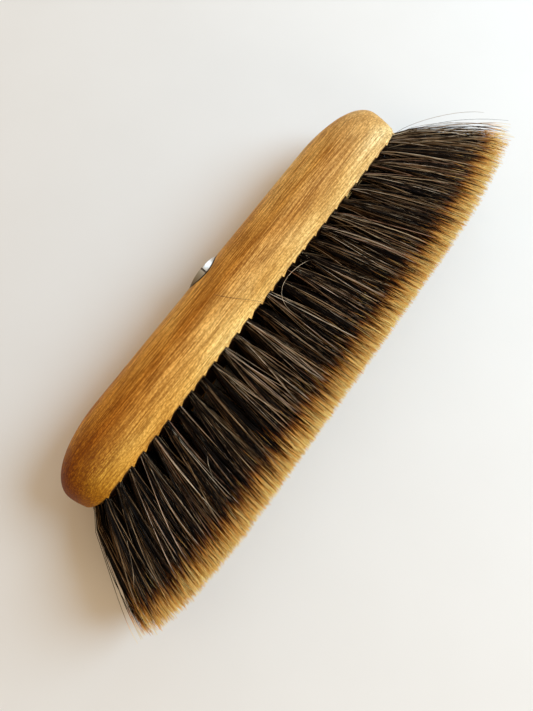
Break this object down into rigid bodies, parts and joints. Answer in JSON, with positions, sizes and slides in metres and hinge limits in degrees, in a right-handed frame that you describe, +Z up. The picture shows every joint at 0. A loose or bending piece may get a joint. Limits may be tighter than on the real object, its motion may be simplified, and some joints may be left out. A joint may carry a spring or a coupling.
{
  "type": "broom head",
  "caption": "Horsehair broom or brush head: tufted hardwood block with a seamed, threaded steel sleeve in its back for a screw-in handle.",
  "frame": {"origin": "centre of the footprint, on the surface that the head lies on", "axes": "+X along the block, +Y from the bristle tips to the back of the block and out of the handle sleeve, +Z up through the block's width"},
  "size_m": [0.3278, 0.106, 0.045],
  "materials": {
    "oiled_wood": "oiled, open-pored beech with fine dark grain along the length",
    "sleeve_steel": "bright zinc-plated rolled sheet",
    "anchor_wire": "flat drawn wire",
    "horsehair": "natural dark horsehair, straw-coloured towards the tips"
  },
  "bodies": {
    "root": {"block": "oiled_wood", "handle_sleeve": "sleeve_steel", "anchors": "anchor_wire", "tufts_01": "horsehair", "tufts_02": "horsehair", "tufts_03": "horsehair", "tufts_04": "horsehair", "tufts_05": "horsehair", "tufts_06": "horsehair", "tufts_07": "horsehair", "tufts_08": "horsehair", "tufts_09": "horsehair", "tufts_10": "horsehair", "tufts_11": "horsehair", "tufts_12": "horsehair", "tufts_13": "horsehair", "tufts_14": "horsehair", "tufts_15": "horsehair", "tufts_16": "horsehair", "tufts_17": "horsehair", "tufts_18": "horsehair", "tufts_19": "horsehair", "tufts_20": "horsehair", "tufts_21": "horsehair", "tufts_22": "horsehair", "tufts_23": "horsehair", "tufts_24": "horsehair", "tufts_25": "horsehair", "tufts_26": "horsehair", "tufts_27": "horsehair"}
  },
  "joints": []
}
